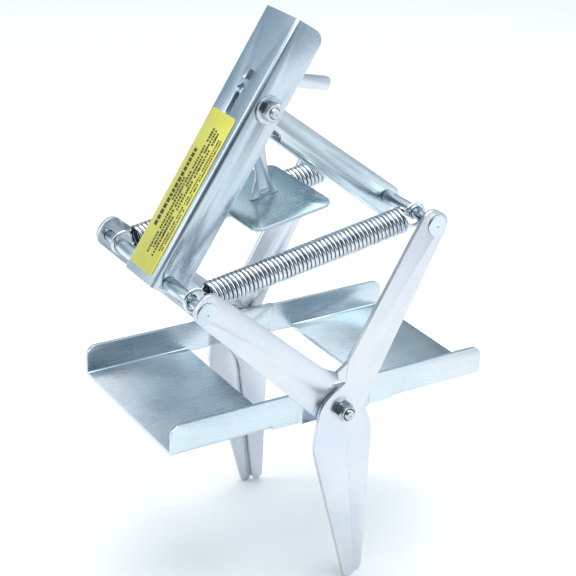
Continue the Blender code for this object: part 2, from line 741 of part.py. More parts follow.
TRIGGER_PLACE = Matrix.Translation(TOGGLE) @ Matrix.Rotation(-JAW_SET_LEAN, 4, "Y")


def crossing(point, along, other_point, other_along):
    """Where two lines in a plane meet."""
    apart = other_point - point
    turned = along.x * other_along.y - along.y * other_along.x
    share = (apart.x * other_along.y - apart.y * other_along.x) / turned
    return tuple(point + along * share)


def trigger_mesh():
    """Upright plate: strip down to the pan, finger to the right, nose up into the lever."""
    half = STRIP_WIDTH / 2
    foot = FOOT_WIDTH / 2
    tenon = TENON_WIDTH / 2
    down = -STRIP_DROP
    seat = down + GAP
    tenon_end = down - PAN_SHEET - 0.6 * MM
    upward = Vector((0, 1))
    finger_along = Vector((math.cos(FINGER_SLOPE), math.sin(FINGER_SLOPE)))
    finger_up = Vector((-finger_along.y, finger_along.x))
    finger_top = finger_up * (FINGER_RISE + FINGER_DEPTH / 2)
    finger_low = finger_up * (FINGER_RISE - FINGER_DEPTH / 2)
    nose_turn = LEVER_TILT - JAW_SET_LEAN + NOSE_TURN
    nose_along = Vector((math.cos(nose_turn), math.sin(nose_turn)))
    nose_left = Vector((-nose_along.y, nose_along.x)) * (NOSE_WIDTH / 2)
    web_along = Vector((math.cos(SET_LEVER_TURN), math.sin(SET_LEVER_TURN)))
    under_web = Vector((-web_along.y, web_along.x)) * UNDER_WEB
    outline = [
        (-half, down + FOOT_RISE, 12 * MM), (-foot, seat), (-tenon, seat),
        (-tenon, tenon_end), (tenon, tenon_end), (tenon, seat), (foot, seat),
        (half, down + FOOT_RISE, 12 * MM),
        (*crossing(Vector((half, 0)), upward, finger_low, finger_along), 5 * MM),
        (*(finger_low + finger_along * FINGER_LENGTH), 4 * MM),
        (*(finger_top + finger_along * FINGER_LENGTH), 4 * MM),
        (*crossing(finger_top, finger_along, under_web, web_along), 2 * MM),
        (*crossing(under_web, web_along, -nose_left, nose_along), 1 * MM),
        (*(nose_along * NOSE_REACH - nose_left), 2.4 * MM),
        (*(nose_along * NOSE_REACH + nose_left), 2.4 * MM),
        (*crossing(Vector((-TRIGGER_HUB, 0)), upward, nose_left, nose_along), 2 * MM),
        (-TRIGGER_HUB, -TRIGGER_HUB / 2, 3 * MM), (-half, -TRIGGER_HUB * 1.5, 3 * MM),
    ]
    eye = slot(
        FOOT_EYE[0] - FOOT_EYE[1], FOOT_EYE[1],
        (-(FOOT_EYE[0] - FOOT_EYE[1]) / 2, down + FOOT_EYE_RISE), (1, 0),
    )
    return extruded([rounded(outline), eye, circle(BOLT_HOLE)], TRIGGER_SHEET, UPRIGHT)


trigger = trigger_mesh()
trigger.transform(TRIGGER_PLACE)
piece("trigger_plate", trigger, TOGGLE)

pan_half_length = PAN_LENGTH / 2
pan_half_width = PAN_WIDTH / 2
tenon_half_length = TENON_WIDTH / 2 + GAP
tenon_half_width = TRIGGER_SHEET / 2 + GAP
pan_outline = rounded([
    (-pan_half_length, -pan_half_width, PAN_CORNER), (pan_half_length, -pan_half_width, PAN_CORNER),
    (pan_half_length, pan_half_width, PAN_CORNER), (-pan_half_length, pan_half_width, PAN_CORNER),
])
tenon_hole = [
    (-tenon_half_length, -tenon_half_width), (tenon_half_length, -tenon_half_width),
    (tenon_half_length, tenon_half_width), (-tenon_half_length, tenon_half_width),
]
pan_drop = STRIP_DROP + PAN_SHEET / 2
pan = extruded([pan_outline, tenon_hole], PAN_SHEET, Matrix.Translation((0, 0, -pan_drop)))
pan.transform(TRIGGER_PLACE)
piece("trip_pan", pan, TOGGLE)


# ---------------------------------------------------------------- springs

def right_half_points():
    """Wire of a spring's right half: coil from the middle, then the hook over the right rod.

    Drawn with the middle between the rods on the origin and the rods along X.
    """
    radius = (COIL - WIRE) / 2
    start = WIRE / 2 + GAP / 2
    points = []
    steps = round(COIL_TURNS * COIL_STEPS)
    for step in range(steps + 1):
        share = step / steps
        turn = 2 * math.pi * COIL_TURNS * share
        along = start + (COIL_END - start) * share
        points.append(Vector((along, radius * math.cos(turn), radius * math.sin(turn))))
    hook = radius
    centre = Vector((ROD_HALF_SPAN - (hook - WIRE / 2 - ROD / 2 - GAP), 0, 0))
    for step in range(HOOK_STEPS + 1):
        turn = math.pi - HOOK_OPEN - (2 * math.pi - 2 * HOOK_OPEN) * step / HOOK_STEPS
        points.append(centre + Vector((hook * math.cos(turn), 0, hook * math.sin(turn))))
    return points


half_turn = Matrix.Rotation(math.pi, 4, "Y")
for place_name, side in (("front", -1), ("rear", 1)):
    for half_name, turn, axis_point in (
        ("right", Matrix.Identity(4), RIGHT_ROD), ("left", half_turn, LEFT_ROD)
    ):
        coil = wire(right_half_points(), WIRE)
        place = SET_PLACE @ Matrix.Translation((0, side * SPRING_SIDE, ROD_RISE)) @ turn
        coil.transform(place)
        piece(f"{place_name}_spring_{half_name}", coil, axis_point, ("spring_steel", ZINC_DARK, 0.3, 1.0))
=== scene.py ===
# %% [markdown]
# # A foot-set scissor-jaw mole trap in zinc-plated steel
# The trap is a frame with two foot pans, two crossing jaws on one pivot, two pull springs,
# and a toggle of two folded channels that a foot pushes down to open the jaws. The packed
# model gives every piece its place. Here each piece gets its finished shape and its finish.

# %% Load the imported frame
import json
import math

import bmesh
import bpy
from mathutils import Matrix, Vector


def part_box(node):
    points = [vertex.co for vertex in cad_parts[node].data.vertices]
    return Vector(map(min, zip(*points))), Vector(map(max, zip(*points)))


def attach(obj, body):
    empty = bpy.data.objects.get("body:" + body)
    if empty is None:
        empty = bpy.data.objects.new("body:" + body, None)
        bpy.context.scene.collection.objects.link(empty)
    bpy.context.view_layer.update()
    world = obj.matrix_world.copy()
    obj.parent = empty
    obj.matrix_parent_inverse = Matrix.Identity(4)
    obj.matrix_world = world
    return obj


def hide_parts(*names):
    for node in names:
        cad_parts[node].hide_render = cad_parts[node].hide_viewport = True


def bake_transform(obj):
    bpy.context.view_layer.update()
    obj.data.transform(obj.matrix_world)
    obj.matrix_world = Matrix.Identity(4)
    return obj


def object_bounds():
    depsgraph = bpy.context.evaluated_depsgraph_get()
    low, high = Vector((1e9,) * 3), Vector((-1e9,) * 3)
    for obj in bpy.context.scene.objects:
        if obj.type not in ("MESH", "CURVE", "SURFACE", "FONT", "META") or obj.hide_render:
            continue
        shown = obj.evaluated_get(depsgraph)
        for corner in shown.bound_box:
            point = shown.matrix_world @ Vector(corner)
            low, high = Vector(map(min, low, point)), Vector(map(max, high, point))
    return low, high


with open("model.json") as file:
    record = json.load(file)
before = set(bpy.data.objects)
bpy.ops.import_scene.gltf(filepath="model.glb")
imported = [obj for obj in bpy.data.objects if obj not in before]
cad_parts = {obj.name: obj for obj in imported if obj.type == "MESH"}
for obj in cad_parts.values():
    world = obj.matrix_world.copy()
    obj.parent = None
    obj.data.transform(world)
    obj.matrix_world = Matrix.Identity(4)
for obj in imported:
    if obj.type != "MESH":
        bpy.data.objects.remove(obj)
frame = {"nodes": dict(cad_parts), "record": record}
cad_low, cad_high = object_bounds()
MM = 0.001
body_of_node = {
    node: body for body, nodes in frame["record"]["behaviour"]["bodies"].items() for node in nodes
}

# %% [markdown]
# ## Where things are
# Round pieces sit on four axes that all run from front to rear: the jaw pivot, the two rods
# and the toggle bolt. The middle of a round piece's box is a point on its axis, so the axes
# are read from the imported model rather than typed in.

# %% Read the four axes
def middle(node):
    low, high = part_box(node)
    return (low + high) / 2


def axis_of(node):
    centre = middle(node)
    return Vector((centre.x, 0, centre.z))


PIVOT = axis_of("pivot_bolt_front")
LEFT_ROD = axis_of("left_rod")
RIGHT_ROD = axis_of("right_rod")
TOGGLE = axis_of("toggle_nut")
ALONG_SET = (RIGHT_ROD - LEFT_ROD).normalized()
UP_SET = Vector((-ALONG_SET.z, 0, ALONG_SET.x))
for name, point in (("pivot", PIVOT), ("left rod", LEFT_ROD), ("toggle", TOGGLE)):
    print(name, [round(value / MM, 1) for value in point])

# %% [markdown]
# ## Colour and node helpers
# Colours are written as the hex values a paint chart would give. Blender works in linear
# light, so one function turns them round. Another adds a node with its settings and links,
# which keeps each material short enough to read from top to bottom.

# %% Colour and node helpers
def linear(hex_colour, alpha=1.0):
    values = [int(hex_colour[start:start + 2], 16) / 255 for start in (1, 3, 5)]
    turned = [v / 12.92 if v <= 0.04045 else ((v + 0.055) / 1.055) ** 2.4 for v in values]
    return (*turned, alpha)


def add_node(tree, kind, inputs=None, **settings):
    node = tree.nodes.new(kind)
    for key, value in settings.items():
        setattr(node, key, value)
    for key, value in (inputs or {}).items():
        if isinstance(value, bpy.types.NodeSocket):
            tree.links.new(value, node.inputs[key])
        else:
            node.inputs[key].default_value = value
    return node


def new_material(name):
    made = bpy.data.materials.new(name)
    made.use_nodes = True
    made.node_tree.nodes.clear()
    return made, made.node_tree


def close_material(tree, shader):
    output = add_node(tree, "ShaderNodeOutputMaterial")
    tree.links.new(shader.outputs[0], output.inputs["Surface"])


# %% [markdown]
# ## Zinc plating
# Bright zinc is a thin metal coat with a clear blue passivation over it. It takes the grain
# of the rolled sheet underneath, so it is neither a mirror nor matt: long faint rolling
# lines, cloudy patches where the coat is thicker, and a blue or straw tint that comes and
# goes. A metal's colour is its reflection's colour, so the tints are close to white. The
# clouds are about 35 mm across and the rolling lines about 0.8 mm apart. Real lines are
# finer, and these are drawn coarse enough to show in a render.

# %% Make the zinc finishes
CLOUD_MM = 35
TINT_TO_CLOUD = 2.2
LINE_LENGTH_MM = 60
LINE_GAP_MM = 0.8
LINE_RELIEF = 0.012
LINE_DEPTH = 0.05 * MM


def zinc_plating(name, pale, deep, straw, gloss, dull, line_turn=0.0, cloud_mm=CLOUD_MM):
    made, tree = new_material(name)
    place = add_node(tree, "ShaderNodeTexCoord").outputs["Object"]
    turned = add_node(
        tree, "ShaderNodeMapping", {"Vector": place, "Rotation": (0, line_turn, 0)}
    ).outputs["Vector"]
    clouds = add_node(
        tree, "ShaderNodeTexNoise",
        {"Vector": turned, "Scale": 1000 / cloud_mm, "Detail": 4.0, "Roughness": 0.55},
    ).outputs["Fac"]
    tint = add_node(
        tree, "ShaderNodeTexNoise",
        {"Vector": turned, "Scale": 1000 / (cloud_mm * TINT_TO_CLOUD), "Detail": 1.0},
    ).outputs["Fac"]
    ramp = add_node(tree, "ShaderNodeValToRGB", {"Fac": clouds})
    ramp.color_ramp.elements[0].position = 0.33
    ramp.color_ramp.elements[0].color = linear(deep)
    ramp.color_ramp.elements[1].position = 0.66
    ramp.color_ramp.elements[1].color = linear(pale)
    tint_share = add_node(
        tree, "ShaderNodeMapRange",
        {"Value": tint, "From Min": 0.52, "From Max": 0.8, "To Min": 0.0, "To Max": 0.4},
    ).outputs["Result"]
    colour = add_node(
        tree, "ShaderNodeMix",
        {0: tint_share, 6: ramp.outputs["Color"], 7: linear(straw)}, data_type="RGBA",
    )
    rolled = add_node(
        tree, "ShaderNodeMapping",
        {
            "Vector": turned,
            "Scale": (1000 / LINE_LENGTH_MM, 1000 / LINE_GAP_MM, 1000 / LINE_GAP_MM),
        },
    ).outputs["Vector"]
    lines = add_node(
        tree, "ShaderNodeTexNoise", {"Vector": rolled, "Scale": 1.0, "Detail": 2.0}
    ).outputs["Fac"]
    worn = add_node(tree, "ShaderNodeMath", {0: lines, 1: clouds}, operation="MULTIPLY").outputs[0]
    rough = add_node(
        tree, "ShaderNodeMapRange",
        {"Value": worn, "From Min": 0.12, "From Max": 0.42, "To Min": gloss, "To Max": dull},
    ).outputs["Result"]
    relief = add_node(
        tree, "ShaderNodeBump",
        {"Height": lines, "Strength": LINE_RELIEF, "Distance": LINE_DEPTH},
    ).outputs["Normal"]
    shader = add_node(
        tree, "ShaderNodeBsdfPrincipled",
        {"Base Color": colour.outputs[2], "Roughness": rough, "Metallic": 1.0, "Normal": relief},
    )
    close_material(tree, shader)
    return made


LEVER_TURN = math.atan2((TOGGLE - LEFT_ROD).z, (TOGGLE - LEFT_ROD).x)
LINK_TURN = math.atan2((TOGGLE - RIGHT_ROD).z, (TOGGLE - RIGHT_ROD).x)
zinc_frame = zinc_plating("zinc_plated_frame_sheet", "#D3DEE6", "#C5D3DC", "#DAD9D2", 0.24, 0.33)
zinc_jaw = zinc_plating("zinc_plated_jaw_plate", "#DADDE4", "#CFD6DF", "#DED9D0", 0.28, 0.37)
zinc_lever = zinc_plating(
    "zinc_plated_lever_channel", "#CBD6DF", "#BFCCD6", "#D0D2CC", 0.25, 0.34, LEVER_TURN
)
zinc_link = zinc_plating(
    "zinc_plated_link_channel", "#CDD8DF", "#C0CED6", "#D5D3CB", 0.25, 0.34, LINK_TURN
)
zinc_pan = zinc_plating("zinc_plated_trip_pan", "#C2D5DC", "#B0C7D0", "#C6CFCA", 0.23, 0.31)
zinc_rod = zinc_plating("zinc_plated_drawn_rod", "#D2DEE4", "#BCCBD3", "#D4D4CC", 0.17, 0.27)
zinc_bolt = zinc_plating(
    "zinc_plated_fastener", "#D0D6DA", "#A9B4BB", "#D2CEC2", 0.15, 0.27, cloud_mm=6
)
print("zinc finishes:", zinc_frame.name, zinc_jaw.name, zinc_lever.name)

# %% [markdown]
# ## Edges, wire, vinyl and nylon
# A stamped edge is burnished by the die and by handling, so it shines differently from the
# face beside it. The jaws' cut edges have less zinc and go brown. Spring wire is drawn
# smooth before it is wound and plated, and is the brightest thing on the trap. The flanks
# and insides of its closed turns get a dark finish, which is painted shade standing in for
# the shade between the turns. The label is printed vinyl: a dull yellow film with a soft
# sheen. The ring in a lock nut is moulded nylon.

# %% Make the edge, wire, vinyl and nylon finishes
def plain_finish(name, pale, deep, spot_mm, metallic, gloss, dull, coat=0.0):
    made, tree = new_material(name)
    place = add_node(tree, "ShaderNodeTexCoord").outputs["Object"]
    spots = add_node(
        tree, "ShaderNodeTexNoise", {"Vector": place, "Scale": 1000 / spot_mm, "Detail": 3.0}
    ).outputs["Fac"]
    ramp = add_node(tree, "ShaderNodeValToRGB", {"Fac": spots})
    ramp.color_ramp.elements[0].position = 0.35
    ramp.color_ramp.elements[0].color = linear(deep)
    ramp.color_ramp.elements[1].position = 0.65
    ramp.color_ramp.elements[1].color = linear(pale)
    rough = add_node(
        tree, "ShaderNodeMapRange", {"Value": spots, "To Min": gloss, "To Max": dull}
    ).outputs["Result"]
    shader = add_node(
        tree, "ShaderNodeBsdfPrincipled",
        {
            "Base Color": ramp.outputs["Color"], "Roughness": rough,
            "Metallic": metallic, "Coat Weight": coat,
        },
    )
    close_material(tree, shader)
    return made


burnished_edge = plain_finish("zinc_burnished_edge", "#C9D0D4", "#A4AEB5", 9, 1.0, 0.24, 0.36)
cut_edge = plain_finish("zinc_thin_cut_edge", "#A79F95", "#6A645E", 6, 1.0, 0.30, 0.46)
spring_wire = plain_finish("zinc_plated_spring_wire", "#E2E7EC", "#C4CCD4", 5, 1.0, 0.16, 0.25)
# Painted shade: this dark finish on the coil's flanks and insides stands in for the shade between
# closed turns.
groove_shade_finish = plain_finish("painted_shade_between_coils", "#4C5359", "#30363B", 4, 0.8, 0.35, 0.5)
label_vinyl = plain_finish("printed_vinyl_label", "#DDD95E", "#D2CE50", 30, 0.0, 0.34, 0.44, 0.15)
label_ink = plain_finish("screen_print_ink", "#4A4A30", "#3A3A26", 12, 0.0, 0.42, 0.55)
nylon = plain_finish("moulded_nylon_ring", "#39424E", "#2B323C", 3, 0.0, 0.40, 0.52)
print("plain finishes made:", burnished_edge.name, spring_wire.name, label_vinyl.name)

# %% [markdown]
# ## Finished copies of the folded and stamped pieces
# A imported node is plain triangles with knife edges. No real sheet has those: the die rounds
# one side and leaves a small burr on the other. A copy of each node is merged back into flat
# faces, given a rounded edge of a few tenths of a millimetre, and shaded smooth round its
# folds. The rounded strip takes its own finish, which is the bright line along every edge.

# %% Round the edges of the sheet pieces
WELD_GAP = 0.002 * MM
TURNED_WELD_GAP = 0.001 * MM


def to_mesh(piece):
    bpy.context.view_layer.update()
    view = bpy.context.evaluated_depsgraph_get()
    mesh = bpy.data.meshes.new_from_object(piece.evaluated_get(view))
    mesh.transform(piece.matrix_world)
    bpy.data.objects.remove(piece, do_unlink=True)
    return mesh


def new_piece(name, mesh):
    made = bpy.data.objects.new(name, mesh)
    bpy.context.scene.collection.objects.link(made)
    return made


def tidy_mesh(mesh, flat_angle=0.3):
    work = bmesh.new()
    work.from_mesh(mesh)
    bmesh.ops.remove_doubles(work, verts=work.verts, dist=WELD_GAP)
    if flat_angle:
        bmesh.ops.dissolve_limit(
            work, angle_limit=math.radians(flat_angle), verts=work.verts, edges=work.edges
        )
    bmesh.ops.recalc_face_normals(work, faces=work.faces)
    work.to_mesh(mesh)
    work.free()
    return mesh


def stands_for(piece, *nodes):
    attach(piece, body_of_node[nodes[0]])
    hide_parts(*nodes)
    return piece


def finished_copy(node, finish, edge_finish, edge_mm, segments=2, edge_from=38):
    mesh = tidy_mesh(frame["nodes"][node].data.copy())
    mesh.materials.clear()
    mesh.materials.append(finish)
    mesh.materials.append(edge_finish)
    mesh.shade_smooth()
    rough = new_piece(f"{node}_rough", mesh)
    edge = rough.modifiers.new("edge", "BEVEL")
    edge.width = edge_mm * MM
    edge.segments = segments
    edge.limit_method = "ANGLE"
    edge.angle_limit = math.radians(edge_from)
    edge.use_clamp_overlap = True
    edge.harden_normals = True
    edge.material = 1
    done = to_mesh(rough)
    done.name = f"{node}_finished"
    return stands_for(new_piece(f"{node}_finished", done), node)


SHEET_FINISHES = (
    ("base_frame", zinc_frame, burnished_edge, 0.45),
    ("lever", zinc_lever, burnished_edge, 0.4),
    ("link", zinc_link, burnished_edge, 0.4),
    ("trigger_plate", zinc_jaw, burnished_edge, 0.3),
    ("trip_pan", zinc_pan, burnished_edge, 0.5),
    ("right_jaw_front", zinc_jaw, cut_edge, 0.45),
    ("right_jaw_rear", zinc_jaw, cut_edge, 0.45),
    ("left_jaw_front", zinc_jaw, cut_edge, 0.45),
    ("left_jaw_rear", zinc_jaw, cut_edge, 0.45),
)
for node, finish, edge_finish, edge_mm in SHEET_FINISHES:
    copy = finished_copy(node, finish, edge_finish, edge_mm)
    print(copy.name, len(copy.data.polygons), "faces")

# %% [markdown]
# ## Turned pieces
# Rods, sleeves, washers and bolts are round about one of the four axes, so each is a profile
# turned about its axis with the Screw modifier. A profile is a list of (radius, depth)
# points, where depth runs from the front of the trap to the rear. A closed profile gives a
# ring, and one that starts and ends on the axis gives a solid bar.

# %% Turn a profile about an axis
def turned(profile, axis_point, ring=False, steps=56):
    mesh = bpy.data.meshes.new("profile")
    count = len(profile)
    edges = [(here, here + 1) for here in range(count - 1)]
    if ring:
        edges.append((count - 1, 0))
    mesh.from_pydata([(radius, 0, depth) for radius, depth in profile], edges, [])
    shape = new_piece("profile", mesh)
    spin = shape.modifiers.new("turn", "SCREW")
    spin.axis = "Z"
    spin.steps = steps
    spin.render_steps = steps
    spin.use_merge_vertices = True
    spin.merge_threshold = TURNED_WELD_GAP
    done = to_mesh(shape)
    done.transform(
        Matrix.Translation((axis_point.x, 0, axis_point.z)) @ Matrix.Rotation(-math.pi / 2, 4, "X")
    )
    work = bmesh.new()
    work.from_mesh(done)
    bmesh.ops.remove_doubles(work, verts=work.verts, dist=TURNED_WELD_GAP)
    bmesh.ops.recalc_face_normals(work, faces=work.faces)
    work.to_mesh(done)
    work.free()
    return done


def smooth(mesh, finish, sharp_from=35):
    mesh.materials.clear()
    mesh.materials.append(finish)
    mesh.shade_smooth()
    mesh.set_sharp_from_angle(angle=math.radians(sharp_from))
    return mesh


def rounded_ring(outer, inner, start, end, edge):
    """Section of a flat ring with rounded outer corners, as (radius, depth) points."""
    low, high = min(start, end), max(start, end)
    section = [(inner, low), (inner, high)]
    for turn in (90, 60, 30, 0):
        angle = math.radians(turn)
        section.append(
            (outer - edge + edge * math.cos(angle), high - edge + edge * math.sin(angle))
        )
    for turn in (0, -30, -60, -90):
        angle = math.radians(turn)
        section.append(
            (outer - edge + edge * math.cos(angle), low + edge + edge * math.sin(angle))
        )
    return section


BORE = 4.3 * MM
SLEEVE_EDGE = 0.9 * MM
WASHER_EDGE = 0.35 * MM
for node in (
    "left_sleeve_front", "left_sleeve_rear", "right_sleeve_front", "right_sleeve_rear",
    "toggle_washer_front", "toggle_washer_rear", "spacer_washer_front", "spacer_washer_rear",
    "trigger_spacer_front", "trigger_spacer_rear",
):
    low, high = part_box(node)
    radius = (high.z - low.z) / 2
    edge = SLEEVE_EDGE if "sleeve" in node else WASHER_EDGE
    section = rounded_ring(radius, BORE, low.y, high.y, edge)
    finish = zinc_rod if "sleeve" in node or "spacer_" in node else zinc_bolt
    mesh = smooth(turned(section, axis_of(node), ring=True), finish)
    stands_for(new_piece(f"{node}_turned", mesh), node)
    print(node, "radius", round(radius / MM, 2), "mm")

# %% [markdown]
# ## Rods with riveted heads
# Each rod runs right across the trap. Its ends are spun over in the jaw plates, which leaves
# a shallow round head with faint spiral tool marks and a small dimple in the middle. The
# rod and both heads are one turned profile, and the marks are ridges 0.05 mm high.

# %% Turn the two rods
ROD_RADIUS = 4.0 * MM
HEAD_HEIGHT = 0.8 * MM
TOOL_MARKS = 9
MARK_RIDGE = 0.05 * MM


def rod_profile(low, high, rod_radius, head_radius, head_height):
    """From the axis at the front end to the axis at the rear end."""
    front = [(0, low + 0.45 * MM), (0.5 * MM, low + 0.42 * MM), (1.1 * MM, low + 0.1 * MM)]
    for index in range(TOOL_MARKS):
        share = (index + 1) / TOOL_MARKS
        ridge = MARK_RIDGE if index % 2 else 0.0
        front.append((1.2 * MM + (head_radius - 1.7 * MM) * share, low + ridge))
    front += [
        (head_radius - 0.15 * MM, low + 0.15 * MM), (head_radius, low + 0.4 * MM),
        (head_radius, low + head_height), (rod_radius, low + head_height),
    ]
    middle_depth = (low + high) / 2
    rear = [(radius, 2 * middle_depth - depth) for radius, depth in reversed(front)]
    return front + rear


for node, axis_point in (("left_rod", LEFT_ROD), ("right_rod", RIGHT_ROD)):
    low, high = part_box(node)
    profile = rod_profile(low.y, high.y, ROD_RADIUS, (high.z - low.z) / 2, HEAD_HEIGHT)
    mesh = smooth(turned(profile, axis_point), zinc_rod, 50)
    stands_for(new_piece(f"{node}_turned", mesh), node)
    print(node, round((high.y - low.y) / MM, 1), "mm long")

# %% [markdown]
# ## Bolts and lock nuts
# A nut is a hexagonal bar whose corners are turned off at both ends. The same two shapes
# make it here: a six-sided prism, cut to what it shares with a turned barrel with sloping
# ends. Its collar is turned too, and is crimped over the nylon ring. Thread shows only on
# the last two millimetres of a bolt, where rings 1.4 mm apart stand in for the helix.

# %% Make the hexagons and threads
def prism(flats, start, end, axis_point, turn=0.0):
    shape = bmesh.new()
    radius = flats / math.sqrt(3)
    rings = []
    for depth in (start, end):
        rings.append([
            shape.verts.new((
                axis_point.x + radius * math.cos(turn + math.pi / 3 * side), depth,
                axis_point.z + radius * math.sin(turn + math.pi / 3 * side),
            ))
            for side in range(6)
        ])
    shape.faces.new(rings[0])
    shape.faces.new(list(reversed(rings[1])))
    for here in range(6):
        there = (here + 1) % 6
        shape.faces.new((rings[0][there], rings[0][here], rings[1][here], rings[1][there]))
    bmesh.ops.recalc_face_normals(shape, faces=shape.faces)
    mesh = bpy.data.meshes.new("prism")
    shape.to_mesh(mesh)
    shape.free()
    return mesh


def combined(mesh, other, operation):
    first = new_piece("first", mesh)
    second = new_piece("second", other)
    change = first.modifiers.new("change", "BOOLEAN")
    change.object = second
    change.operation = operation
    change.solver = "EXACT"
    done = to_mesh(first)
    bpy.data.objects.remove(second, do_unlink=True)
    return tidy_mesh(done, 0)


def hexagon_with_turned_ends(flats, start, end, axis_point):
    low, high = min(start, end), max(start, end)
    corner = flats / math.sqrt(3)
    face = flats / 2 * 0.97
    slope = (corner - face) * math.tan(math.radians(30))
    barrel = [
        (0, low), (face, low), (corner + 0.05 * MM, low + slope * 1.1),
        (corner + 0.05 * MM, high - slope * 1.1), (face, high), (0, high),
    ]
    return combined(
        prism(flats, low - MM, high + MM, axis_point), turned(barrel, axis_point), "INTERSECT"
    )


NUT_FLATS = 12.7 * MM
NUT_HEIGHT = 6.8 * MM
BOLT_HEAD_HEIGHT = 5.2 * MM
BOLT_RADIUS = 3.95 * MM
THREAD_PITCH = 1.4 * MM
THREAD_DEPTH = 0.55 * MM
COLLAR_OUTER = 5.9 * MM
COLLAR_INNER = 5.0 * MM


def threaded_shank(root, tip, axis_point, threaded):
    """A bar from root to tip. The last stretch has thread rings and a sloped point."""
    way = 1 if tip > root else -1
    profile = [(0, root), (BOLT_RADIUS, root), (BOLT_RADIUS, tip - way * threaded)]
    rings = int((threaded - 0.7 * MM) / THREAD_PITCH)
    for index in range(rings):
        base = tip - way * (threaded - index * THREAD_PITCH)
        profile.append((BOLT_RADIUS - THREAD_DEPTH, base + way * 0.5 * THREAD_PITCH))
        profile.append((BOLT_RADIUS, base + way * THREAD_PITCH))
    profile += [
        (BOLT_RADIUS - 0.7 * MM, tip - way * 0.15 * MM), (BOLT_RADIUS - 0.9 * MM, tip),
        (1.1 * MM, tip), (0.7 * MM, tip - way * 0.25 * MM), (0, tip - way * 0.3 * MM),
    ]
    return turned(profile, axis_point, steps=40)


# %% Make the pivot and toggle fasteners
def bolt(node, axis_point, head_at_low_end, head_height, threaded):
    low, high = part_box(node)
    if head_at_low_end:
        head_end, shank_tip, way = low.y, high.y, 1
    else:
        head_end, shank_tip, way = high.y, low.y, -1
    head = hexagon_with_turned_ends(
        NUT_FLATS, head_end, head_end + way * head_height, axis_point
    )
    shank = threaded_shank(head_end + way * head_height / 2, shank_tip, axis_point, threaded)
    mesh = smooth(combined(head, shank, "UNION"), zinc_bolt, 28)
    return stands_for(new_piece(f"{node}_made", mesh), node)


def lock_nut(node, axis_point, front, body_height, collar=True):
    low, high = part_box(node)
    seat = high.y if front else low.y
    way = -1 if front else 1
    body = hexagon_with_turned_ends(NUT_FLATS, seat, seat + way * body_height, axis_point)
    if collar:
        rise = seat + way * (body_height - 0.4 * MM)
        tip = low.y if front else high.y
        ring = [
            (BORE, rise), (COLLAR_OUTER, rise), (COLLAR_OUTER, tip - way * 0.5 * MM),
            (COLLAR_OUTER - 0.15 * MM, tip - way * 0.15 * MM), (COLLAR_OUTER - 0.5 * MM, tip),
            (COLLAR_INNER, tip), (COLLAR_INNER, tip - way * 1.2 * MM),
            (BORE, tip - way * 1.2 * MM),
        ]
        body = combined(body, turned(ring, axis_point, ring=True), "UNION")
    hole = [
        (0, seat - way * MM), (BORE, seat - way * MM),
        (BORE, seat + way * (body_height + 4 * MM)), (0, seat + way * (body_height + 4 * MM)),
    ]
    mesh = combined(body, turned(hole, axis_point), "DIFFERENCE")
    return stands_for(new_piece(f"{node}_made", smooth(mesh, zinc_bolt, 28)), node)


for end in ("front", "rear"):
    front = end == "front"
    bolt(f"pivot_bolt_{end}", PIVOT, not front, BOLT_HEAD_HEIGHT, 5 * MM)
    lock_nut(f"pivot_nut_{end}", PIVOT, front, NUT_HEIGHT)
    low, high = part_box(f"nut_insert_{end}")
    ring = rounded_ring(4.75 * MM, BORE, low.y, high.y, 0.2 * MM)
    mesh = smooth(turned(ring, PIVOT, ring=True), nylon)
    stands_for(new_piece(f"nut_insert_{end}_moulded", mesh), f"nut_insert_{end}")
bolt("toggle_bolt", TOGGLE, False, BOLT_HEAD_HEIGHT, 9 * MM)
lock_nut("toggle_nut", TOGGLE, True, NUT_HEIGHT, collar=False)
print("fasteners made on the pivot and toggle")

# %% [markdown]
# ## Pull springs
# Each spring is one length of wire: a hook over the left rod, a close coil, and a hook over
# the right rod. Its path is worked out turn by turn, and a Geometry Nodes tree sweeps a
# round section along it, with the wire's size as an input. A swept path keeps the same
# section through the coil and the hooks. The imported model has two coarse halves per spring,
# and this one piece stands for both.

# %% Build the wire-sweeping tree
def named_input(tree, name, kind, value):
    socket = tree.interface.new_socket(name, in_out="INPUT", socket_type=kind)
    socket.default_value = value
    return socket


def wire_tree():
    tree = bpy.data.node_groups.new("wire_along_path", "GeometryNodeTree")
    tree.interface.new_socket("Geometry", in_out="INPUT", socket_type="NodeSocketGeometry")
    tree.interface.new_socket("Geometry", in_out="OUTPUT", socket_type="NodeSocketGeometry")
    named_input(tree, "Wire Radius", "NodeSocketFloat", 1.4 * MM)
    named_input(tree, "Sides", "NodeSocketInt", 10)
    tree.interface.new_socket("Finish", in_out="INPUT", socket_type="NodeSocketMaterial")
    start = add_node(tree, "NodeGroupInput")
    section = add_node(
        tree, "GeometryNodeCurvePrimitiveCircle",
        {"Resolution": start.outputs["Sides"], "Radius": start.outputs["Wire Radius"]},
    )
    swept = add_node(
        tree, "GeometryNodeCurveToMesh",
        {
            "Curve": start.outputs["Geometry"], "Profile Curve": section.outputs["Curve"],
            "Fill Caps": True,
        },
    )
    shaded = add_node(tree, "GeometryNodeSetShadeSmooth", {"Geometry": swept.outputs["Mesh"]})
    real = add_node(
        tree, "GeometryNodeRealizeInstances", {"Geometry": shaded.outputs["Geometry"]}
    )
    painted = add_node(
        tree, "GeometryNodeSetMaterial",
        {"Geometry": real.outputs["Geometry"], "Material": start.outputs["Finish"]},
    )
    end = add_node(tree, "NodeGroupOutput")
    tree.links.new(painted.outputs["Geometry"], end.inputs["Geometry"])
    return tree


def set_inputs(modifier, values):
    for socket in modifier.node_group.interface.items_tree:
        if socket.item_type == "SOCKET" and socket.in_out == "INPUT" and socket.name in values:
            modifier[socket.identifier] = values[socket.name]


sweep_wire = wire_tree()
print("tree inputs:", [item.name for item in sweep_wire.interface.items_tree])

